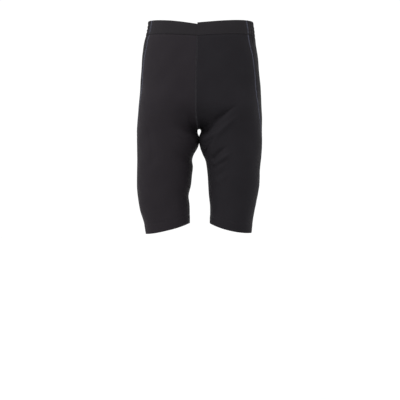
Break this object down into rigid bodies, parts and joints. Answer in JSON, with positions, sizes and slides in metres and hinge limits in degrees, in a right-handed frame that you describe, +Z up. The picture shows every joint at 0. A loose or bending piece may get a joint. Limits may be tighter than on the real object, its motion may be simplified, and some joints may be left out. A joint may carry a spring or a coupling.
{
  "type": "cycling shorts",
  "caption": "Close-fitting knee-length cycling shorts, hollow as worn, with an elasticated waistband and open waist and legs.",
  "frame": {"origin": "middle of the waist, level with the band's upper edge between the side and the front", "axes": "+Z up the body, +X to the wearer's left, -Y to the front"},
  "size_m": [0.3336, 0.243, 0.5742],
  "materials": {
    "knit": "matt black warp-knit stretch jersey with a slight satin sheen",
    "band_knit": "the same knit, doubled over an elastic"
  },
  "bodies": {
    "root": {"front_panel_right": "knit", "front_panel_left": "knit", "back_panel_right": "knit", "back_panel_left": "knit", "waistband_front_right": "band_knit", "waistband_front_left": "band_knit", "waistband_back": "band_knit"}
  },
  "joints": []
}
